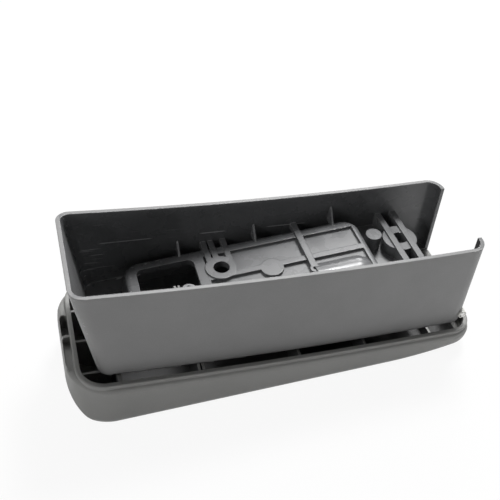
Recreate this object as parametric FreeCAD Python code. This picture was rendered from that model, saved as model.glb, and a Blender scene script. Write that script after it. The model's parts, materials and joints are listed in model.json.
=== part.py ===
import FreeCAD, Part
import math
import os

V = FreeCAD.Vector

# A car armrest box lying on its lid, as it is shown for sale: lid below, box above, open underside up.
# It is drawn from the hinge: X = 0 at the hinge pin and forward is -X, Y = 0 is the middle plane,
# and Z = 0 is the parting plane between lid and box. Millimetres and degrees.

# Box: a skirt with a sloping floor
BASE_LENGTH = 299.9
BOX_WIDTH = 87.2
BOX_HEIGHT = 85.5
BASE_SINK = 4.0
FRONT_LEAN = 18.7
REAR_RAKE = 8.4
HINGE_SETBACK = 5.4
WALL = 3.0
EDGE_SAG = 4.0
FRONT_CORNER_R = 10.0
REAR_CORNER_R = 12.0
BASE_EDGE_R = 6.0
REAR_RETURN = 13.6

# Floor and the rear wall of the storage bin
BIN_SETBACK = 31.0
FLOOR_DROP = 38.45
FLOOR_TILT = 7.5

# Island: the raised pan of the bin in the floor
ISLAND_SETBACK = 45.5
ISLAND_LENGTH = 189.0
ISLAND_HEIGHT = 18.7
ISLAND_TOP_WIDTH = 68.0
ISLAND_SIDE_SLOPE = 3.0
ISLAND_END_SLOPE = 4.5
ISLAND_CORNER_R = 12.0
ISLAND_EDGE_R = 4.0
FRAME_WIDTH = 8.5
REAR_FRAME_WIDTH = 4.5
PANEL_DEPTH = 2.4
RAIL_WIDTH = 5.0
MID_RAIL_Y = 2.2
WINDOW_LENGTH = 44.5
WINDOW_CORNER_R = 5.0
WINDOW_SILL = 8.0
DISC_D = 18.0
DISC_SETBACK = 79.5
SADDLE_SETBACK = 49.0
SADDLE_RISE = 1.8
SADDLE_END_Y = -12.0
SADDLE_BOSS_D = 8.0
SADDLE_HOLE_D = 3.2
BULGE_R = 16.0
BULGE_Y = -16.5
BULGE_RISE = 3.0
BULGE_SETBACK = 15.0

# Fixing bosses, level with the lid's resting face
MOUNT_SPACING = 150.0
MOUNT_Y = 10.0
SLOT_SETBACK = 14.0
MOUNT_HOLE_D = 12.4
FRONT_BOSS_D = 24.0
REAR_BOSS_D = 28.0
FRONT_BOSS_RISE = 0.9
RAIL_RISE = 10.5
REAR_BOSS_STEP = 1.5
REAR_SLOT_WIDTH = 8.0
BRIDGE_WIDTH = 4.5
BRIDGE_DEPTH = 6.0
BRIDGE_OFFSETS = (-6.8, -1.0, 9.0)
PEG_D = 13.0
PEG_RISE = 14.0
PEG_SPACING = 21.0
PEG_Y = 16.0

# Thin fins between the side walls and the island, as (setback, rise)
FIN_THICKNESS = 1.5
FINS = ((66.4, 13.6), (131.0, 10.4), (192.0, 8.6))

# Screw tab inside the near wall
TAB_R = 5.2
TAB_THICKNESS = 2.5
TAB_HOLE_D = 3.6
TAB_SETBACK = 203.0
TAB_DEPTH = 2.0

# Hinge
HINGE_RISE = 8.0
PIN_D = 5.0
PIN_OVERHANG = 0.9
PIN_CHAMFER = 0.7
BUSH_D = 7.0
BUSH_STAND = 2.4
PIVOT_BOSS_R = 6.5
RUNNING_CLEARANCE = 0.05
BARREL_R = 6.0
BARREL_LENGTH = 9.0
BARREL_CLEARANCE = 0.6
BARREL_WEB = 5.0

# Lid: a shell around the box's base
GAP_SIDE = 6.2
GAP_FRONT = 12.6
GAP_REAR = 1.6
LIP_WIDTH = 3.5
LIP_RISE = 0.3
LIP_EDGE_R = 1.0
LIP_FRONT_R = 17.0
SHOULDER_SIDE = 2.7
SHOULDER_FRONT = 6.6
SHOULDER_REAR = 0.5
SHOULDER_DROP = 2.4
SHOULDER_R = 3.5
LID_WALL = 3.0
SWEEP_DEPTH = 28.8
LID_WEDGE = 4.4
SWEEP_SETBACK = 64.0
SWEEP_R = 280.0
LID_FRONT_R = 34.0
LID_REAR_R = 19.0
LID_EDGE_R = 8.0
NOSE_R = 30.5
BROW_SET = 2.2
BROW_DROP = 10.5
RIB_THICKNESS = 2.0
RIB_DROP = 10.5
RIB_SHARES = (0.08, 0.278, 0.467, 0.724, 0.735, 0.935)
FRONT_RIB_PITCH = 31.0

# Finger pull in the lid's front shoulder: a deep far half and a near half that runs out
PULL_FAR = 21.0
PULL_NEAR = 32.5
PULL_SKIN = 1.2
PULL_DEPTH = 15.0
PULL_NEAR_DEPTH = 7.5
PULL_RUNOUT_DEPTH = 2.5
PULL_WEB = 2.2
PULL_WALL = 2.5
PULL_CORNER_R = 2.4

# Rest pads on the front cross rib, under the box's lower edge
PAD_THICKNESS = 2.8
PAD_REACH = 2.0
PAD_GAP = 0.5

# Places worked out from the sizes above
TOL = 0.01
LEAST_R = 0.4
FAR = 2 * BASE_LENGTH
HALF = BOX_WIDTH / 2
INNER_HALF = HALF - WALL
BOX_TOP = BOX_HEIGHT - BASE_SINK
BASE_REAR = HINGE_SETBACK
BASE_FRONT = BASE_REAR - BASE_LENGTH
OPEN_REAR = BASE_REAR - REAR_RAKE
OPEN_FRONT = BASE_FRONT - FRONT_LEAN
FLOOR_REAR_Z = BOX_TOP - FLOOR_DROP
RETURN_Y = HALF - REAR_RETURN
LIP_IN_HALF = HALF + GAP_SIDE
LIP_IN_FRONT = BASE_FRONT - GAP_FRONT
LIP_IN_REAR = BASE_REAR + GAP_REAR
LID_FRONT = LIP_IN_FRONT - LIP_WIDTH - SHOULDER_FRONT
LID_REAR = LIP_IN_REAR + LIP_WIDTH + SHOULDER_REAR
LID_HALF = LIP_IN_HALF + LIP_WIDTH + SHOULDER_SIDE
WEDGE = math.radians(LID_WEDGE)
LEVEL = V(-math.sin(WEDGE), 0, math.cos(WEDGE))
CROSS_RIBS = [share * BASE_LENGTH for share in RIB_SHARES]
LID_DEPTH = SWEEP_DEPTH - (LID_FRONT + SWEEP_SETBACK) * math.tan(WEDGE)


def block(x0, x1, y0, y1, z0, z1):
    """A plain block between two corners."""
    return Part.makeBox(x1 - x0, y1 - y0, z1 - z0, V(x0, y0, z0))


def line(a, b):
    """A straight edge between two (x, z) points of the middle plane."""
    return Part.LineSegment(V(a[0], 0, a[1]), V(b[0], 0, b[1])).toShape()


def arc(a, mid, b):
    """A round edge through three (x, z) points of the middle plane."""
    return Part.Arc(V(a[0], 0, a[1]), V(mid[0], 0, mid[1]), V(b[0], 0, b[1])).toShape()


def side_prism(edges, half_width):
    """A side-view outline drawn out to both sides of the middle plane."""
    prism = Part.Face(Part.Wire(edges)).extrude(V(0, 2 * half_width, 0))
    prism.translate(V(0, -half_width, 0))
    return prism


def sagging(x0, x1, z):
    """A long edge that dips at its middle."""
    return arc((x0, z), ((x0 + x1) / 2, z - EDGE_SAG), (x1, z))


def polygon(points):
    """The straight edges of a closed outline."""
    return [line(a, b) for a, b in zip(points, points[1:] + points[:1])]


def middle(edge):
    """The point half way along an edge."""
    return edge.valueAt((edge.FirstParameter + edge.LastParameter) / 2)


def round_edges(shape, radius, wanted):
    """Fillets the edges whose middle point is wanted."""
    return shape.makeFillet(radius, [e for e in shape.Edges if wanted(e)])


def rounded_block(x0, x1, half_width, z0, z1, front_r, rear_r):
    """An upright block with round corners in plan."""
    shape = block(x0, x1, -half_width, half_width, z0, z1)
    upright = lambda e: abs(e.BoundBox.ZLength - (z1 - z0)) < TOL
    shape = round_edges(shape, front_r, lambda e: upright(e) and abs(middle(e).x - x0) < TOL)
    return round_edges(shape, rear_r, lambda e: upright(e) and abs(middle(e).x - x1) < TOL)


def level_post(x, y, top, diameter, height):
    """A round post with its top face level with the lid's resting face."""
    return Part.makeCylinder(diameter / 2, height, V(x, y, top) - LEVEL * height, LEVEL)


def rod_y(radius, y0, y1):
    """A round bar along the hinge axis."""
    return Part.makeCylinder(radius, y1 - y0, V(0, y0, HINGE_RISE), V(0, 1, 0))


def on_floor(shape):
    """Sets a shape drawn on a level plane onto the sloping floor."""
    shape.rotate(V(0, 0, 0), V(0, 1, 0), -FLOOR_TILT)
    shape.translate(V(-BIN_SETBACK, 0, FLOOR_REAR_Z))
    return shape


def floor_z(setback, height):
    """The height of a point above the floor, at a distance ahead of the bin's rear wall."""
    return FLOOR_REAR_Z - setback * math.tan(math.radians(FLOOR_TILT)) + height


def mount_top(x):
    """The height of the level plane through the fixing bosses at a place along the box."""
    front_x = -BIN_SETBACK - SLOT_SETBACK - MOUNT_SPACING
    front_top = floor_z(SLOT_SETBACK + MOUNT_SPACING, ISLAND_HEIGHT) + FRONT_BOSS_RISE
    return front_top + (x - front_x) * math.tan(WEDGE)


def skirt_outside():
    """The solid outline of the box, with round corners and a rolled base edge."""
    edges = [
        line((BASE_FRONT, -BASE_SINK), (OPEN_FRONT, BOX_TOP)),
        sagging(OPEN_FRONT, OPEN_REAR, BOX_TOP),
        line((OPEN_REAR, BOX_TOP), (BASE_REAR, -BASE_SINK)),
        sagging(BASE_FRONT, BASE_REAR, -BASE_SINK),
    ]
    shape = side_prism(edges, HALF)
    centre = (BASE_FRONT + BASE_REAR) / 2
    tall = lambda e: abs(e.BoundBox.ZLength - BOX_HEIGHT) < TOL
    shape = round_edges(shape, FRONT_CORNER_R, lambda e: tall(e) and middle(e).x < centre)
    shape = round_edges(shape, REAR_CORNER_R, lambda e: tall(e) and middle(e).x > centre)
    low = lambda e: e.BoundBox.ZMax < BOX_TOP / 2
    return round_edges(shape, BASE_EDGE_R, low)


def skirt_inside():
    """The space inside the skirt's walls, from far below to far above."""
    lean = FRONT_LEAN / BOX_HEIGHT
    rake = REAR_RAKE / BOX_HEIGHT
    front = BASE_FRONT + WALL * math.hypot(1, lean)
    rear = BASE_REAR - WALL * math.hypot(1, rake)
    low, high = -BOX_HEIGHT, 2 * BOX_HEIGHT
    points = [
        (front - lean * (low + BASE_SINK), low),
        (front - lean * (high + BASE_SINK), high),
        (rear - rake * (high + BASE_SINK), high),
        (rear - rake * (low + BASE_SINK), low),
    ]
    shape = side_prism(polygon(points), INNER_HALF)
    centre = (BASE_FRONT + BASE_REAR) / 2
    tall = lambda e: abs(e.BoundBox.ZLength - (high - low)) < TOL
    shape = round_edges(shape, FRONT_CORNER_R - WALL, lambda e: tall(e) and middle(e).x < centre)
    return round_edges(shape, REAR_CORNER_R - WALL, lambda e: tall(e) and middle(e).x > centre)


def island_outline(inset, low, high):
    """The island's tapering block on a level floor, or the pan inside it."""
    half = ISLAND_TOP_WIDTH / 2 - inset
    front = -ISLAND_SETBACK - ISLAND_LENGTH + inset
    rear = -ISLAND_SETBACK - inset
    per_height = 1 / ISLAND_HEIGHT

    def outline(z):
        spread = (ISLAND_HEIGHT - z) * per_height
        side = ISLAND_SIDE_SLOPE * spread
        end = ISLAND_END_SLOPE * spread
        corner = ISLAND_CORNER_R - inset + side
        base = rounded_block(front - end, rear + end, half + side, z, z + WALL, corner, corner)
        return [f for f in base.Faces if abs(f.BoundBox.ZMax - z) < TOL][0].OuterWire

    return Part.makeLoft([outline(low), outline(high)], True, True)


def island_panels():
    """The sunk panels between the island's rails, on a level floor."""
    far_y = ISLAND_TOP_WIDTH / 2 - FRAME_WIDTH
    rear = -ISLAND_SETBACK - REAR_FRAME_WIDTH
    saddle_x = -ISLAND_SETBACK - SADDLE_SETBACK
    sill = -ISLAND_SETBACK - ISLAND_LENGTH + FRAME_WIDTH + WINDOW_LENGTH + WINDOW_SILL
    bays = ((saddle_x + RAIL_WIDTH / 2, rear), (sill, saddle_x - RAIL_WIDTH / 2))
    rows = ((MID_RAIL_Y + RAIL_WIDTH / 2, far_y), (-far_y, MID_RAIL_Y - RAIL_WIDTH / 2))
    low = ISLAND_HEIGHT - PANEL_DEPTH
    return [block(x0, x1, y0, y1, low, FAR) for x0, x1 in bays for y0, y1 in rows]


def island_window():
    """The opening through the front of the island, on a level floor."""
    front = -ISLAND_SETBACK - ISLAND_LENGTH + FRAME_WIDTH
    half = ISLAND_TOP_WIDTH / 2 - FRAME_WIDTH
    rear = front + WINDOW_LENGTH
    return rounded_block(front, rear, half, 0, 2 * ISLAND_HEIGHT, WINDOW_CORNER_R, WINDOW_CORNER_R)


def island_bulge():
    """The round bulge along the near rear panel, with a ball end, on a level floor."""
    start = -ISLAND_SETBACK - SADDLE_SETBACK
    end = -ISLAND_SETBACK - BULGE_SETBACK
    axis_z = ISLAND_HEIGHT + BULGE_RISE - BULGE_R
    bar = Part.makeCylinder(BULGE_R, end - start, V(start, BULGE_Y, axis_z), V(1, 0, 0))
    ball = Part.makeSphere(BULGE_R, V(end, BULGE_Y, axis_z))
    return bar.fuse(ball).common(block(start, 0, -HALF, HALF, -WALL / 2, FAR))


def island():
    """The raised pan: tapering walls, rails, sunk panels, disc and bulge."""
    solid = island_outline(0, -WALL / 2, ISLAND_HEIGHT)
    crown = lambda e: abs(e.BoundBox.ZMin - ISLAND_HEIGHT) < TOL
    solid = round_edges(solid, ISLAND_EDGE_R, crown)
    disc_x = -ISLAND_SETBACK - DISC_SETBACK
    disc = Part.makeCylinder(DISC_D / 2, PANEL_DEPTH, V(disc_x, 0, ISLAND_HEIGHT - PANEL_DEPTH))
    return on_floor(solid.cut(island_panels()).fuse([disc, island_bulge()]))


def pan_space():
    """The hollow under the island, open to the storage bin."""
    return on_floor(island_outline(WALL, -2 * WALL, ISLAND_HEIGHT - PANEL_DEPTH - WALL))


def saddle():
    """The cross rib from the far wall over the island, with a small screw boss at its end."""
    x = -ISLAND_SETBACK - SADDLE_SETBACK
    top = ISLAND_HEIGHT + SADDLE_RISE
    foot = ISLAND_HEIGHT - PANEL_DEPTH - WALL / 2
    bar = block(x - RAIL_WIDTH / 2, x + RAIL_WIDTH / 2, SADDLE_END_Y, INNER_HALF + WALL / 2, foot, top)
    boss = Part.makeCylinder(SADDLE_BOSS_D / 2, top - foot, V(x, SADDLE_END_Y, foot))
    drilled = SADDLE_RISE + PANEL_DEPTH
    hole = Part.makeCylinder(SADDLE_HOLE_D / 2, drilled, V(x, SADDLE_END_Y, top - drilled))
    return on_floor(bar.fuse(boss).cut(hole))


def fins():
    """Thin fins that tie the island's top edge to both side walls."""
    made = []
    for setback, rise in FINS:
        edge_z = floor_z(setback, ISLAND_HEIGHT)
        edge_y = ISLAND_TOP_WIDTH / 2 - ISLAND_EDGE_R
        wall_y = INNER_HALF + WALL / 2
        x = -BIN_SETBACK - setback
        foot = edge_z - PANEL_DEPTH
        outline = [(edge_y, edge_z), (wall_y, edge_z + rise), (wall_y, foot), (edge_y, foot)]
        for side in (1, -1):
            corners = [V(x, side * y, z) for y, z in outline]
            face = Part.Face(Part.makePolygon(corners + corners[:1]))
            made.append(face.extrude(V(FIN_THICKNESS, 0, 0)))
    return made


def front_boss():
    """The front fixing boss with its three bridges to the far wall, and its hole."""
    x = -BIN_SETBACK - SLOT_SETBACK - MOUNT_SPACING
    top = mount_top(x)
    made = [level_post(x, MOUNT_Y, top, FRONT_BOSS_D, BRIDGE_DEPTH)]
    wall_y = INNER_HALF + WALL / 2
    for offset in BRIDGE_OFFSETS:
        bridge = block(-BRIDGE_WIDTH / 2, BRIDGE_WIDTH / 2, MOUNT_Y, wall_y, -BRIDGE_DEPTH, 0)
        bridge.rotate(V(0, 0, 0), V(0, 1, 0), -LID_WEDGE)
        bridge.translate(V(x + offset, 0, mount_top(x + offset)))
        made.append(bridge)
    hole = level_post(x, MOUNT_Y, top + BRIDGE_DEPTH, MOUNT_HOLE_D, 4 * BRIDGE_DEPTH)
    return made, hole


def rear_boss():
    """The rear fixing boss between two cross rails, its slot, and the locating peg."""
    x = -BIN_SETBACK - SLOT_SETBACK
    top = mount_top(x)
    made = [level_post(x, MOUNT_Y, top - REAR_BOSS_STEP, REAR_BOSS_D, RAIL_RISE + WALL)]
    pitch = REAR_SLOT_WIDTH + RAIL_WIDTH
    wall_y = INNER_HALF + WALL / 2
    for side in (-1, 1):
        rail = block(-RAIL_WIDTH / 2, RAIL_WIDTH / 2, -wall_y, wall_y, -RAIL_RISE - WALL, 0)
        rail.rotate(V(0, 0, 0), V(0, 1, 0), -LID_WEDGE)
        rail.translate(V(x + side * pitch / 2, 0, mount_top(x + side * pitch / 2)))
        made.append(rail)
    peg_x = x - PEG_SPACING
    peg_top = floor_z(SLOT_SETBACK + PEG_SPACING, PEG_RISE)
    made.append(level_post(peg_x, PEG_Y, peg_top, PEG_D, PEG_RISE + WALL))
    hole = level_post(x, MOUNT_Y, top, MOUNT_HOLE_D, 3 * RAIL_RISE)
    strip = block(x - REAR_SLOT_WIDTH / 2, x + REAR_SLOT_WIDTH / 2, -HALF, HALF, 0, FAR)
    return made, hole.common(strip)


def screw_tab():
    """A half-round screw tab just inside the near wall's open edge."""
    x = -BIN_SETBACK - TAB_SETBACK
    z = BOX_TOP - EDGE_SAG - TAB_DEPTH - TAB_THICKNESS
    plate = Part.makeCylinder(TAB_R, TAB_THICKNESS, V(x, -INNER_HALF, z))
    hole = Part.makeCylinder(TAB_HOLE_D / 2, TAB_THICKNESS, V(x, -INNER_HALF + TAB_R / 3, z))
    return plate.cut(hole)


def box_body():
    """The box: one moulding with skirt, floor, island, bosses, rails, fins and hinge bosses."""
    outside = skirt_outside()
    shape = outside.cut(skirt_inside())
    floor = on_floor(block(-FAR, 0, -HALF, HALF, -WALL, 0))
    rear_wall = block(-BIN_SETBACK - WALL, -BIN_SETBACK, -HALF, HALF, -FAR, FLOOR_REAR_Z)
    front_parts, front_hole = front_boss()
    rear_parts, rear_hole = rear_boss()
    shape = shape.fuse([floor.common(outside), rear_wall.common(outside), island()])
    shape = shape.cut(pan_space())
    inside = [part.common(outside) for part in [saddle(), screw_tab()] + fins() + front_parts + rear_parts]
    shape = shape.fuse(inside)
    notch = block(-BIN_SETBACK, FAR, -RETURN_Y, RETURN_Y, -FAR, FAR)
    shape = shape.cut([on_floor(island_window()), front_hole, rear_hole, notch])
    for side in (-1, 1):
        y0, y1 = sorted((side * RETURN_Y, side * HALF))
        shape = shape.fuse(rod_y(PIVOT_BOSS_R, y0, y1).common(outside))
    return shape.cut(rod_y(BUSH_D / 2, -HALF, HALF)).removeSplitter()


def hinge_bush(side):
    """A plain nylon sleeve in one pivot boss, standing a little out of the box's round corner."""
    reach = HALF - REAR_CORNER_R + math.sqrt(REAR_CORNER_R ** 2 - (REAR_CORNER_R - HINGE_SETBACK) ** 2)
    y0, y1 = sorted((side * RETURN_Y, side * (reach + BUSH_STAND)))
    return rod_y(BUSH_D / 2, y0, y1).cut(rod_y(PIN_D / 2 + RUNNING_CLEARANCE, y0, y1))


def hinge_pin():
    """The steel hinge pin, fixed in the lid's barrels and turning in the bushes."""
    reach = HALF - REAR_CORNER_R + math.sqrt(REAR_CORNER_R ** 2 - (REAR_CORNER_R - HINGE_SETBACK) ** 2)
    end = reach + BUSH_STAND + PIN_OVERHANG
    pin = rod_y(PIN_D / 2, -end, end)
    return pin.makeChamfer(PIN_CHAMFER, [e for e in pin.Edges if e.Closed])


def lid_nose(inset):
    """The lid's side view with its rounded front, drawn out past its other sides."""
    brow_r = (BROW_SET ** 2 + BROW_DROP ** 2) / (2 * BROW_SET)
    brow_z = -SHOULDER_DROP - BROW_DROP
    brow_x = LID_FRONT + brow_r
    upper_r = brow_r - inset
    turn = math.asin(BROW_DROP / brow_r)
    on_brow = lambda a: (brow_x - upper_r * math.cos(a), brow_z + upper_r * math.sin(a))
    lower_r = NOSE_R - inset
    nose_x = LID_FRONT + NOSE_R
    nose_z = -LID_DEPTH + NOSE_R * (math.tan(WEDGE) + 1 / math.cos(WEDGE))
    sweep = math.pi / 2 + WEDGE
    on_nose = lambda a: (nose_x - lower_r * math.cos(a), nose_z - lower_r * math.sin(a))
    crest = on_brow(turn)
    chin = on_nose(sweep)
    front = LID_FRONT + inset
    edges = [
        arc(crest, on_brow(turn / 2), (front, brow_z)),
        line((front, brow_z), (front, nose_z)),
        arc((front, nose_z), on_nose(sweep / 2), chin),
        line(chin, (chin[0], -FAR)),
        line((chin[0], -FAR), (FAR, -FAR)),
        line((FAR, -FAR), (FAR, FAR)),
        line((FAR, FAR), (crest[0], FAR)),
        line((crest[0], FAR), crest),
    ]
    return side_prism(edges, LID_HALF + LID_WALL)


def lid_block(inset):
    """The lid's outside without its lip, or with an inset the hollow inside its walls."""
    front = LID_FRONT + inset
    rear = LID_REAR - inset
    past_front = front - LID_WALL
    past_rear = rear + LID_WALL
    top = -SHOULDER_DROP - inset
    face_z = lambda x: -LID_DEPTH + inset / math.cos(WEDGE) + (x - LID_FRONT) * math.tan(WEDGE)
    sweep_x = -SWEEP_SETBACK - inset * math.sin(WEDGE)
    radius = SWEEP_R - inset
    centre_x = sweep_x - radius * math.sin(WEDGE)
    centre_z = face_z(sweep_x) + radius * math.cos(WEDGE)
    turn = math.asin((past_rear - centre_x) / radius)
    on_sweep = lambda a: (centre_x + radius * math.sin(a), centre_z - radius * math.cos(a))
    low_front = (past_front, face_z(past_front))
    sweep = (sweep_x, face_z(sweep_x))
    low_rear = on_sweep(turn)
    edges = [
        line((past_front, top), low_front),
        line(low_front, sweep),
        arc(sweep, on_sweep((WEDGE + turn) / 2), low_rear),
        line(low_rear, (past_rear, top)),
        sagging(past_front, past_rear, top),
    ]
    half = LID_HALF - inset
    plan = rounded_block(front, rear, half, -FAR, FAR, LID_FRONT_R - inset, LID_REAR_R - inset)
    shape = side_prism(edges, LID_HALF + LID_WALL).common(plan)
    crossing = lambda e: abs(middle(e).y) < TOL and front + inset + TOL < middle(e).x < rear - inset - TOL
    upper = lambda e: e.BoundBox.ZMin > top - EDGE_SAG - TOL and not crossing(e)
    lower = lambda e: e.BoundBox.ZMax < low_rear[1] + TOL and not crossing(e)
    shape = round_edges(shape, LID_EDGE_R - inset, lower)
    shape = round_edges(shape, max(SHOULDER_R - inset, LEAST_R), upper)
    return shape.common(lid_nose(inset))


def lip_block(outset, low, high):
    """The upstanding lip's outline in plan, between two heights, with a sagging top."""
    front = LIP_IN_FRONT - outset
    rear = LIP_IN_REAR + outset
    front_r = LIP_FRONT_R + outset
    rear_r = LID_REAR_R - SHOULDER_REAR - LIP_WIDTH + outset
    plan = rounded_block(front, rear, LIP_IN_HALF + outset, -FAR, FAR, front_r, rear_r)
    past_front = front - LID_WALL
    past_rear = rear + LID_WALL
    edges = [
        line((past_front, high), (past_front, low)),
        line((past_front, low), (past_rear, low)),
        line((past_rear, low), (past_rear, high)),
        sagging(past_front, past_rear, high),
    ]
    return side_prism(edges, LID_HALF + LID_WALL).common(plan)


def lid_ribs(hollow):
    """The thin ribs that stiffen the lid, trimmed to its hollow."""
    half = RIB_THICKNESS / 2
    ribs = [block(-x - half, -x + half, -LID_HALF, LID_HALF, -FAR, -RIB_DROP) for x in CROSS_RIBS]
    for y in (-FRONT_RIB_PITCH, 0, FRONT_RIB_PITCH):
        ribs.append(block(LID_FRONT, -max(CROSS_RIBS), y - half, y + half, -FAR, -RIB_DROP))
    return [rib.common(hollow) for rib in ribs]


def base_edge_z(x):
    """The height of the skirt's lower edge, at the inside of its wall."""
    radius = (BASE_LENGTH ** 2 / 4 + EDGE_SAG ** 2) / (2 * EDGE_SAG)
    centre = (BASE_FRONT + BASE_REAR) / 2
    edge = radius - EDGE_SAG - math.sqrt(radius ** 2 - (x - centre) ** 2) - BASE_SINK
    return edge + BASE_EDGE_R - math.sqrt(BASE_EDGE_R ** 2 - (BASE_EDGE_R - WALL) ** 2)


def rest_pads():
    """Two pads on the front cross rib, which carry the box's side walls when it is shut."""
    x = -max(CROSS_RIBS)
    top = base_edge_z(x) - PAD_GAP
    inner = INNER_HALF - PAD_REACH
    outer = LIP_IN_HALF + LIP_WIDTH / 2
    half = PAD_THICKNESS / 2
    spans = ((inner, outer), (-outer, -inner))
    return [block(x - half, x + half, y0, y1, -RIB_DROP - PAD_THICKNESS, top) for y0, y1 in spans]


def pull_spaces():
    """The two halves of the finger pull, on either side of its web."""
    x0 = LID_FRONT + PULL_SKIN
    x1 = LIP_IN_FRONT - LIP_WIDTH
    web = PULL_WEB / 2
    far = block(x0, x1, web, PULL_FAR, -SHOULDER_DROP - PULL_DEPTH, FAR)
    corner = lambda e: e.BoundBox.ZLength > PULL_DEPTH and abs(middle(e).y - PULL_FAR) < TOL
    far = round_edges(far, PULL_CORNER_R, corner)
    low = -SHOULDER_DROP - PULL_NEAR_DEPTH
    end = -SHOULDER_DROP - PULL_RUNOUT_DEPTH
    outline = [V(x0, y, z) for y, z in ((-web, FAR), (-web, low), (-PULL_NEAR, end), (-PULL_NEAR, FAR))]
    near = Part.Face(Part.makePolygon(outline + outline[:1])).extrude(V(x1 - x0, 0, 0))
    half = LID_HALF - PULL_SKIN
    plan = rounded_block(x0, LID_REAR, half, -FAR, FAR, LID_FRONT_R - PULL_SKIN, LID_REAR_R)
    return [far.common(plan), near.common(plan)]


def pull_bucket(outside):
    """The walls around the finger pull, inside the lid."""
    x1 = LIP_IN_FRONT - LIP_WIDTH + PULL_WALL
    low = -SHOULDER_DROP - PULL_DEPTH - PULL_WALL
    bucket = block(LID_FRONT, x1, -PULL_NEAR - PULL_WALL, PULL_FAR + PULL_WALL, low, -SHOULDER_DROP)
    return bucket.common(outside)


def lid_barrels():
    """The lid's two hinge barrels on their webs."""
    made = []
    for side in (-1, 1):
        outer = RETURN_Y - BARREL_CLEARANCE
        y0, y1 = sorted((side * outer, side * (outer - BARREL_LENGTH)))
        centre = (y0 + y1) / 2
        web = block(-BARREL_R, BARREL_R, centre - BARREL_WEB / 2, centre + BARREL_WEB / 2, -FAR, HINGE_RISE)
        made.append((rod_y(BARREL_R, y0, y1), web))
    return made


def lid_shell():
    """The lid: one moulding with lip, ribs, finger pull and hinge barrels."""
    outside = lid_block(0)
    lip = lip_block(LIP_WIDTH, -SHOULDER_DROP - EDGE_SAG - LID_WALL, LIP_RISE)
    lip = round_edges(lip, LIP_EDGE_R, lambda e: e.BoundBox.ZMin > LIP_RISE - EDGE_SAG - TOL)
    mouth = lip_block(0, -RIB_DROP - LID_WALL, BOX_HEIGHT)
    shape = outside.fuse(lip).cut([lid_block(LID_WALL), mouth])
    inside = lid_ribs(lid_block(LID_WALL / 2)) + rest_pads() + [pull_bucket(outside)]
    shape = shape.fuse(inside).cut(pull_spaces())
    above = block(-BARREL_R, BARREL_R, -HALF, HALF, -RIB_DROP, HINGE_RISE)
    for barrel, web in lid_barrels():
        shape = shape.fuse([web.common(outside.fuse(above)), barrel])
    return shape.cut(rod_y(PIN_D / 2, -HALF, HALF)).removeSplitter()


def settle(parts):
    """Turns the parts so that the lid's outer face lies level, and centres them above the origin."""
    for shape in parts.values():
        shape.rotate(V(0, 0, 0), V(0, 1, 0), LID_WEDGE)
    reach = Part.makeCompound([parts["lid_shell"], parts["box_body"]]).optimalBoundingBox(False, False)
    resting = -LID_FRONT * math.sin(WEDGE) - LID_DEPTH * math.cos(WEDGE)
    for shape in parts.values():
        shape.translate(V(-reach.Center.x, 0, -resting))


def main():
    """Builds every sub-part and writes one file for each."""
    parts = {
        "lid_shell": lid_shell(),
        "box_body": box_body(),
        "hinge_pin": hinge_pin(),
        "hinge_bush_near": hinge_bush(-1),
        "hinge_bush_far": hinge_bush(1),
    }
    settle(parts)
    os.makedirs("parts", exist_ok=True)
    for name, shape in parts.items():
        shape.exportStep("parts/" + name + ".step")


main()
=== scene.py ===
import json
import math

import bpy
from mathutils import Euler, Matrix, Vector

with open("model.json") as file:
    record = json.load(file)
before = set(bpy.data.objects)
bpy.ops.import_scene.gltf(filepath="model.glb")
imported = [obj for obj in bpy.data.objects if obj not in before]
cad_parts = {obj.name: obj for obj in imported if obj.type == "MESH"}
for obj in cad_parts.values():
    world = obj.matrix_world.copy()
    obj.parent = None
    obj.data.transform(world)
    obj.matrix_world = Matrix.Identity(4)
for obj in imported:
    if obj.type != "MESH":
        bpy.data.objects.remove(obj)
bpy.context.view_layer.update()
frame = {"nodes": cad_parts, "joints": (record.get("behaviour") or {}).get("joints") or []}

# Everything is placed from the hinge, in metres and degrees.
HINGE = Vector(frame["joints"][0]["pos_m"])
WEDGE = math.radians(4.4)
COS_WEDGE, SIN_WEDGE = math.cos(WEDGE), math.sin(WEDGE)

# Camera, read from the photograph
CAMERA_FROM_HINGE = Vector((-0.30275, -0.36253, 0.44127))
CAMERA_TURN = (46.056, -3.136, -16.657)
CAMERA_LENS = 52.25
SENSOR = 36.0

# Lamps, as name, place, size and power: a wide soft box and a lamp above and behind the object,
# a small one for glints, a low strip before its long side and a weak lamp before its front
LAMPS = (
    ("key", (0.3, 0.95, 1.45), (2.2, 1.4), 15.0),
    ("top", (0.50, 0.72, 1.56), (0.40, 0.40), 27.0),
    ("glint", (0.80, 1.50, 0.80), (0.4, 0.4), 10.0),
    ("strip", (0.45, -1.3, 0.075), (1.6, 0.14), 4.5),
    ("front", (-1.35, -0.30, 0.80), (0.4, 0.4), 4.0),
)
LAMP_AIM = Vector((0, 0, 0.06))
WORLD_LEVEL = 0.03
FLOOR_SIZE = 12.0
FLOOR_COLOUR = (0.86, 0.86, 0.86, 1)
FLOOR_WHITE_SHARE = 0.92

# Colours, linear
WHITE = (1, 1, 1, 1)
LID_GREY = (0.215, 0.215, 0.208, 1)
BOX_GREY = (0.190, 0.190, 0.190, 1)
# painted shade: a darker, cooler grey inside the box stands for the shade in its deep well; the smoother,
# glossier finish there is the moulding's own
BOX_INSIDE_SHADE_GREY = (0.130, 0.132, 0.136, 1)
# painted shade: the lid's hollow floor and walls are coloured near black to stand for the deep shade inside
# the lid
LID_HOLLOW_SHADE_GREY = (0.075, 0.075, 0.076, 1)
MARK_GREY = (0.55, 0.55, 0.55, 1)
STEEL_TONES = (0.62, 0.62, 0.61, 1), (0.45, 0.43, 0.41, 1)
NYLON_TONES = (0.62, 0.62, 0.58, 1), (0.72, 0.72, 0.69, 1)
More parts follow.
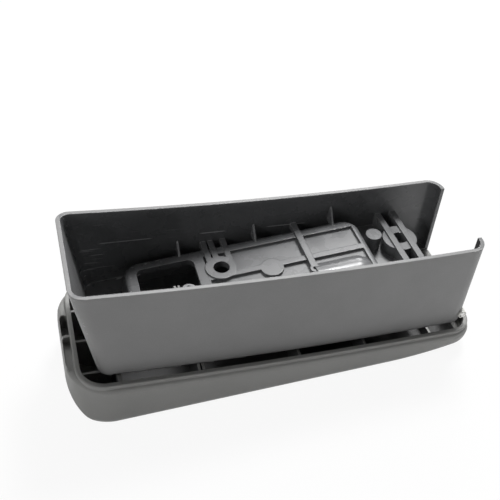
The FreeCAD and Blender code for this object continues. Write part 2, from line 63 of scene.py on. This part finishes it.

# Finishes of the plastic: roughness outside, then inside a darker colour that is painted shade, change of
# roughness and gloss
LID_ROUGHNESS = 0.46
BOX_ROUGHNESS = 0.47
OUTER_GLOSS = 0.45
# the box's inside: a painted shade colour, then a smoother and glossier finish
BOX_INSIDE_SHADE_AND_FINISH = (BOX_INSIDE_SHADE_GREY, -0.19, 0.45)
# the lid's hollow: a painted shade colour, then a rougher and less glossy finish
LID_HOLLOW_SHADE_AND_FINISH = (LID_HOLLOW_SHADE_GREY, 0.15, 0.20)
# how fully the painted shade colour replaces the outer grey inside
INSIDE_SHADE_SHARE = 0.94
ROUGHNESS_SPREAD = 0.05
EDGE_RADIUS = 0.0009
EDGE_WEAR = 0.55
GRAIN_STRENGTH, GRAIN_DEPTH = 0.35, 0.00006
NYLON_STRENGTH, NYLON_DEPTH = 0.2, 0.00004

# Noise scales
MOTTLE_SCALE = 11.0
GRAIN_SCALE = 2600.0
DUST_SCALE = 780.0
PATCH_SCALE = 60.0
WEAR_SCALE = 160.0
STREAK_SCALE = (26.0, 300.0, 900.0)
RING_SCALE = (300.0, 9000.0, 300.0)
STAIN_SCALE = 420.0
CLOUD_SCALE = 240.0
NYLON_GRAIN_SCALE = 3000.0

# Where the finishes and the painted shade change, from the hinge in the moulding's own axes
SOFT_END = 0.0004
BOX_LEAN = 0.219
BOX_FRONT = (-0.2945, -0.2937)
BOX_INNER_HALF = 0.0408
HOLLOW_X = (-0.284, 0.0015)
HOLLOW_HALF = 0.0528
LID_SKIN = (0.0020, 0.0024)
RIB_TOPS = (-0.0195, -0.0190)
LIP_UNDERSIDE = (-0.0110, -0.0105)
WALL_SLOPE = (0.5, 0.3)

# Marks inside the box: witness lines along the far wall, and scratches at the front
FAR_WALL_Y = (0.0395, 0.0412)
LINE_Z = (0.0414, 0.0419)
LINE_SOFT_END = 0.0003
LINE_RUNS = ((-0.280, -0.245), (-0.202, -0.187), (-0.147, -0.119))
RUN_SOFT_END = 0.004
LINE_SHARE = 0.9
SCRATCH_X = (-0.215, -0.25)
SCRATCH_HALF = 0.0412
SCRATCH_SHARE = 0.8


def new_material(name):
    """A node material and its shader."""
    mat = bpy.data.materials.new(name)
    mat.use_nodes = True
    return mat, mat.node_tree, mat.node_tree.nodes["Principled BSDF"]


def node(tree, kind, settings=None, **inputs):
    """Adds a node; inputs are numbers, vectors or other nodes' sockets, by name or as i0, i1 and so on."""
    made = tree.nodes.new(kind)
    for key, value in (settings or {}).items():
        setattr(made, key, value)
    for key, value in inputs.items():
        numbered = key[0] == "i" and key[1:].isdigit()
        plug(tree, value, made.inputs[int(key[1:]) if numbered else key])
    return made


def plug(tree, value, socket):
    """Links a socket, or sets a constant on it."""
    if isinstance(value, bpy.types.NodeSocket):
        tree.links.new(value, socket)
    else:
        socket.default_value = value


def maths(tree, operation, a, b):
    """One maths node's result."""
    return node(tree, "ShaderNodeMath", {"operation": operation}, i0=a, i1=b).outputs[0]


def times(tree, a, b):
    """Two values multiplied."""
    return maths(tree, "MULTIPLY", a, b)


def ramp(tree, value, low, high, to_low=0.0, to_high=1.0):
    """A value carried smoothly from one range to another, and held at its ends."""
    settings = {"interpolation_type": "SMOOTHSTEP"}
    made = node(tree, "ShaderNodeMapRange", settings, i0=value, i1=low, i2=high, i3=to_low, i4=to_high)
    return made.outputs[0]


def band(tree, value, low, high, soft=SOFT_END):
    """One between two limits and nought outside, with soft ends."""
    rise = ramp(tree, value, low - soft, low)
    fall = ramp(tree, value, high, high + soft, 1.0, 0.0)
    return times(tree, rise, fall)


def blend(tree, share, a, b):
    """A colour between two others."""
    mix = node(tree, "ShaderNodeMix", {"data_type": "RGBA"}, i0=share)
    plug(tree, a, mix.inputs[6])
    plug(tree, b, mix.inputs[7])
    return mix.outputs[2]


def shade_of(colour, factor):
    """A lighter or darker version of a colour."""
    return tuple(min(1.0, c * factor) for c in colour[:3]) + (1,)


def noise(tree, place, scale, detail=2.0, rough=0.5):
    """A noise value at a place on the object."""
    made = node(tree, "ShaderNodeTexNoise", None, Vector=place, Scale=scale, Detail=detail, Roughness=rough)
    return made.outputs[0]


def stretched(tree, place, scale):
    """A place scaled differently along each axis."""
    return node(tree, "ShaderNodeMapping", {"vector_type": "POINT"}, Vector=place, Scale=scale).outputs[0]


def object_place(tree):
    """Places on the object."""
    return node(tree, "ShaderNodeTexCoord").outputs["Object"]


def surface_normal(tree):
    """The direction in which the surface faces."""
    return node(tree, "ShaderNodeNewGeometry").outputs["Normal"]


def hinge_place(tree, place):
    """Places in the moulding's own axes, from the hinge."""
    moved = node(tree, "ShaderNodeVectorMath", {"operation": "SUBTRACT"}, i0=place, i1=HINGE).outputs[0]
    turned = node(tree, "ShaderNodeVectorRotate", {"rotation_type": "Y_AXIS"}, Vector=moved, Angle=-WEDGE)
    parts = node(tree, "ShaderNodeSeparateXYZ", None, i0=turned.outputs[0])
    return turned.outputs[0], parts.outputs[0], parts.outputs[1], parts.outputs[2]


def edge_mask(tree, radius):
    """Rounded normals at the edges, and how strongly each point is an edge."""
    soft = node(tree, "ShaderNodeBevel", {"samples": 6}, Radius=radius).outputs[0]
    settings = {"operation": "DOT_PRODUCT"}
    dot = node(tree, "ShaderNodeVectorMath", settings, i0=soft, i1=surface_normal(tree)).outputs["Value"]
    return soft, ramp(tree, dot, 0.995, 0.80)


def box_inside_shade_and_finish(tree, x, y, z):
    """One inside the box's four walls, where painted shade darkens and cools the grey and a smoother,
    glossier finish goes, nought on its grained outside.
    """
    leaning = maths(tree, "ADD", x, times(tree, z, BOX_LEAN))
    behind_front = ramp(tree, leaning, *BOX_FRONT)
    return times(tree, behind_front, band(tree, y, -BOX_INNER_HALF, BOX_INNER_HALF))


def lid_hollow_shade_and_finish(tree, x, y, z):
    """One on the floor and walls of the lid's hollow, where painted shade darkens the grey and a rougher
    finish goes, nought on its rib tops and its grained outside.
    """
    height = maths(tree, "SUBTRACT", times(tree, z, COS_WEDGE), times(tree, x, SIN_WEDGE))
    above_skin = ramp(tree, height, *(level - HINGE.z for level in LID_SKIN))
    below_ribs = ramp(tree, z, *RIB_TOPS, 1.0, 0.0)
    facing = node(tree, "ShaderNodeSeparateXYZ", None, i0=surface_normal(tree))
    upright = ramp(tree, facing.outputs[2], *WALL_SLOPE)
    walls = times(tree, ramp(tree, z, *LIP_UNDERSIDE, 1.0, 0.0), upright)
    low = maths(tree, "MAXIMUM", below_ribs, walls)
    plan = times(tree, band(tree, x, *HOLLOW_X), band(tree, y, -HOLLOW_HALF, HOLLOW_HALF))
    return times(tree, plan, times(tree, above_skin, low))


def box_marks(tree, base, own, x, y, z):
    """Witness lines on the far inner wall and light scratches at the front of the well."""
    far_wall = band(tree, y, *FAR_WALL_Y)
    line = band(tree, z, *LINE_Z, LINE_SOFT_END)
    runs = None
    for low, high in LINE_RUNS:
        run = band(tree, x, low, high, RUN_SOFT_END)
        runs = run if runs is None else maths(tree, "MAXIMUM", runs, run)
    lines = times(tree, times(tree, far_wall, line), runs)
    streaks = noise(tree, stretched(tree, own, STREAK_SCALE), 1.0, 1.0)
    front = times(tree, ramp(tree, x, *SCRATCH_X), band(tree, y, -SCRATCH_HALF, SCRATCH_HALF))
    scratch = times(tree, front, ramp(tree, streaks, 0.67, 0.75))
    marks = maths(tree, "MAXIMUM", times(tree, lines, LINE_SHARE), times(tree, scratch, SCRATCH_SHARE))
    return blend(tree, marks, base, MARK_GREY)


def moulded_plastic(name, colour, roughness, shade_and_finish_of, inner_shade_and_finish, marks=None):
    """Grained moulded plastic with another finish inside, darker there by painted shade: mottling, fine
    grain, dust, worn edges.
    """
    inner_shade_colour, inner_rough, inner_gloss = inner_shade_and_finish
    mat, tree, bsdf = new_material(name)
    place = object_place(tree)
    own, x, y, z = hinge_place(tree, place)
    soft_normal, edge = edge_mask(tree, EDGE_RADIUS)

    mottle = noise(tree, place, MOTTLE_SCALE, 4.0, 0.55)
    base = blend(tree, ramp(tree, mottle, 0.3, 0.7), shade_of(colour, 0.93), shade_of(colour, 1.06))
    grain = noise(tree, place, GRAIN_SCALE, 2.0, 0.6)
    base = blend(tree, ramp(tree, grain, 0.35, 0.7, 0.0, 0.5), base, shade_of(colour, 1.16))
    dust = noise(tree, place, DUST_SCALE, 1.0, 0.4)
    base = blend(tree, ramp(tree, dust, 0.74, 0.82, 0.0, 0.35), base, shade_of(colour, 1.8))
    shade_and_finish_inside = shade_and_finish_of(tree, x, y, z)
    # painted shade: the inside of the box and the lid's hollow are coloured darker
    base = blend(tree, times(tree, shade_and_finish_inside, INSIDE_SHADE_SHARE), base, inner_shade_colour)
    if marks:
        base = marks(tree, base, own, x, y, z)
    worn = times(tree, edge, ramp(tree, noise(tree, place, WEAR_SCALE, 3.0), 0.3, 0.65, 0.35, 1.0))
    base = blend(tree, times(tree, worn, EDGE_WEAR), base, shade_of(colour, 1.7))
    plug(tree, base, bsdf.inputs["Base Color"])

    smooth, dull = roughness - ROUGHNESS_SPREAD, roughness + ROUGHNESS_SPREAD
    rough = ramp(tree, noise(tree, place, PATCH_SCALE, 3.0), 0.3, 0.7, smooth, dull)
    rough = maths(tree, "ADD", rough, times(tree, shade_and_finish_inside, inner_rough))
    plug(tree, rough, bsdf.inputs["Roughness"])
    plug(tree, ramp(tree, shade_and_finish_inside, 0.0, 1.0, OUTER_GLOSS, inner_gloss), bsdf.inputs["Specular IOR Level"])
    plug(tree, grained(tree, grain, GRAIN_STRENGTH, GRAIN_DEPTH, soft_normal), bsdf.inputs["Normal"])
    return mat


def grained(tree, height, strength, depth, normal=None):
    """A normal roughened by a height."""
    bump = node(tree, "ShaderNodeBump", None, Strength=strength, Distance=depth, Height=height)
    if normal:
        plug(tree, normal, bump.inputs["Normal"])
    return bump.outputs[0]


def drawn_steel(name):
    """Drawn steel with fine rings along the pin."""
    mat, tree, bsdf = new_material(name)
    place = object_place(tree)
    rings = noise(tree, stretched(tree, place, RING_SCALE), 1.0, 2.0)
    stain = noise(tree, place, STAIN_SCALE, 3.0)
    plug(tree, blend(tree, ramp(tree, stain, 0.45, 0.7), *STEEL_TONES), bsdf.inputs["Base Color"])
    plug(tree, ramp(tree, rings, 0.3, 0.7, 0.22, 0.38), bsdf.inputs["Roughness"])
    bsdf.inputs["Metallic"].default_value = 1.0
    return mat


def nylon(name):
    """Pale natural nylon with a faint waxy mottling."""
    mat, tree, bsdf = new_material(name)
    place = object_place(tree)
    cloud = noise(tree, place, CLOUD_SCALE, 3.0)
    plug(tree, blend(tree, ramp(tree, cloud, 0.35, 0.65), *NYLON_TONES), bsdf.inputs["Base Color"])
    plug(tree, ramp(tree, cloud, 0.3, 0.7, 0.34, 0.46), bsdf.inputs["Roughness"])
    grain = noise(tree, place, NYLON_GRAIN_SCALE)
    plug(tree, grained(tree, grain, NYLON_STRENGTH, NYLON_DEPTH), bsdf.inputs["Normal"])
    return mat


def dress(name, mat):
    """Gives a part of the frame its material."""
    mesh = frame["nodes"][name].data
    if not mesh.materials:
        mesh.materials.append(mat)
    for index in range(len(mesh.materials)):
        mesh.materials[index] = mat


def camera_white(tree):
    """One for rays that show a surface to the camera, directly or by reflection."""
    path = node(tree, "ShaderNodeLightPath")
    seen = maths(tree, "MAXIMUM", path.outputs["Is Camera Ray"], path.outputs["Is Glossy Ray"])
    return maths(tree, "MAXIMUM", seen, path.outputs["Is Transmission Ray"])


def floor():
    """A pale floor that shows white and keeps the object's shadow."""
    half = FLOOR_SIZE / 2
    corners = [(-half, -half, 0), (half, -half, 0), (half, half, 0), (-half, half, 0)]
    mesh = bpy.data.meshes.new("floor")
    mesh.from_pydata(corners, [], [(0, 1, 2, 3)])
    made = bpy.data.objects.new("floor", mesh)
    bpy.context.scene.collection.objects.link(made)
    mat, tree, bsdf = new_material("floor")
    bsdf.inputs["Base Color"].default_value = FLOOR_COLOUR
    bsdf.inputs["Roughness"].default_value = 1.0
    bsdf.inputs["Specular IOR Level"].default_value = 0.0
    white = node(tree, "ShaderNodeEmission", None, Color=WHITE, Strength=1.0)
    share = times(tree, camera_white(tree), FLOOR_WHITE_SHARE)
    mix = node(tree, "ShaderNodeMixShader", None, i0=share, i1=bsdf.outputs[0], i2=white.outputs[0])
    plug(tree, mix.outputs[0], tree.nodes["Material Output"].inputs[0])
    mesh.materials.append(mat)


def room():
    """A pale room that shows white and lights softly."""
    world = bpy.data.worlds.new("room")
    bpy.context.scene.world = world
    world.use_nodes = True
    tree = world.node_tree
    light = tree.nodes["Background"]
    light.inputs[0].default_value = WHITE
    light.inputs[1].default_value = WORLD_LEVEL
    white = node(tree, "ShaderNodeBackground", None, i0=WHITE, i1=1.0)
    share = camera_white(tree)
    mix = node(tree, "ShaderNodeMixShader", None, i0=share, i1=light.outputs[0], i2=white.outputs[0])
    plug(tree, mix.outputs[0], tree.nodes["World Output"].inputs[0])


def soft_lamp(name, place, size, power):
    """A soft lamp aimed at the middle of the object."""
    data = bpy.data.lights.new(name, "AREA")
    data.shape = "RECTANGLE"
    data.size, data.size_y = size
    data.energy = power
    lamp = bpy.data.objects.new(name, data)
    bpy.context.scene.collection.objects.link(lamp)
    lamp.location = place
    lamp.rotation_euler = (LAMP_AIM - Vector(place)).to_track_quat("-Z", "Y").to_euler()


def camera():
    """The photograph's camera."""
    data = bpy.data.cameras.new("camera")
    data.sensor_width = SENSOR
    data.lens = CAMERA_LENS
    made = bpy.data.objects.new("camera", data)
    bpy.context.scene.collection.objects.link(made)
    made.location = HINGE + CAMERA_FROM_HINGE
    made.rotation_euler = Euler([math.radians(a) for a in CAMERA_TURN], "XYZ")
    bpy.context.scene.camera = made


dress("lid_shell", moulded_plastic("lid_plastic", LID_GREY, LID_ROUGHNESS, lid_hollow_shade_and_finish, LID_HOLLOW_SHADE_AND_FINISH))
dress("box_body", moulded_plastic("box_plastic", BOX_GREY, BOX_ROUGHNESS, box_inside_shade_and_finish, BOX_INSIDE_SHADE_AND_FINISH, box_marks))
dress("hinge_pin", drawn_steel("pin_steel"))
bush_nylon = nylon("bush_nylon")
for side in ("near", "far"):
    dress("hinge_bush_" + side, bush_nylon)

floor()
room()
for lamp in LAMPS:
    soft_lamp(*lamp)
camera()
bpy.context.scene.view_settings.view_transform = "Standard"
